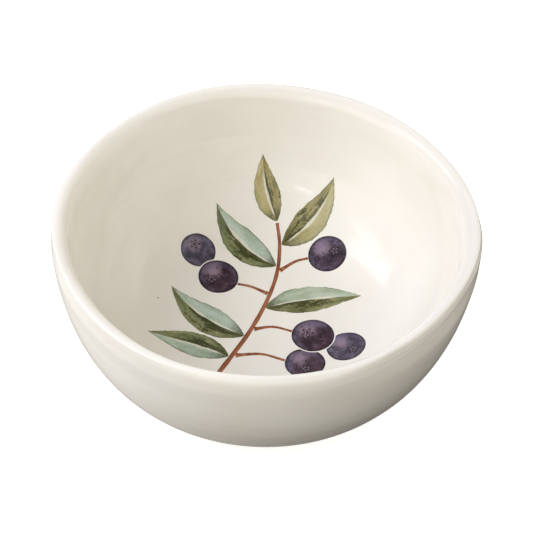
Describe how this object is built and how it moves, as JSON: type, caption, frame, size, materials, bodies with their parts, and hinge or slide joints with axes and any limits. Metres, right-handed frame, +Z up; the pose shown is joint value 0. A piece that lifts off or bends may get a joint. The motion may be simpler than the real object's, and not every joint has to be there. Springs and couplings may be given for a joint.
{
  "type": "dipping bowl",
  "caption": "Small round glazed earthenware dipping bowl with a rounded lip, a curved wall, a printed sprig inside and a dry foot ring underneath.",
  "frame": {"origin": "centre of the foot ring, on the surface that the bowl stands on", "axes": "+Z up along the bowl's axis; +Y towards the back of the bowl as the printed sprig is read, +X to its right"},
  "size_m": [0.1198, 0.1198, 0.05],
  "materials": {
    "clay": "bare fired earthenware, fine and slightly gritty, only seen on the foot ring",
    "glaze": "glossy warm cream glaze with faint turning lines and small specks",
    "print_leaf": "grey-green and olive watercolour print under a clear gloss",
    "print_berry": "dark plum watercolour print with a pale bloom, under a clear gloss",
    "print_stem": "red-brown watercolour print under a clear gloss"
  },
  "bodies": {
    "root": {"clay_body": "clay", "glaze_coat": "glaze", "recess_glaze": "glaze", "print_stem": "print_stem", "print_twig_1": "print_stem", "print_twig_2": "print_stem", "print_twig_3": "print_stem", "print_twig_4": "print_stem", "print_leaf_1": "print_leaf", "print_leaf_2": "print_leaf", "print_leaf_3": "print_leaf", "print_leaf_4": "print_leaf", "print_leaf_5": "print_leaf", "print_leaf_6": "print_leaf", "print_leaf_7": "print_leaf", "print_leaf_8": "print_leaf", "print_berry_1": "print_berry", "print_berry_2": "print_berry", "print_berry_3": "print_berry", "print_berry_4": "print_berry", "print_berry_5": "print_berry", "print_berry_6": "print_berry"}
  },
  "joints": []
}
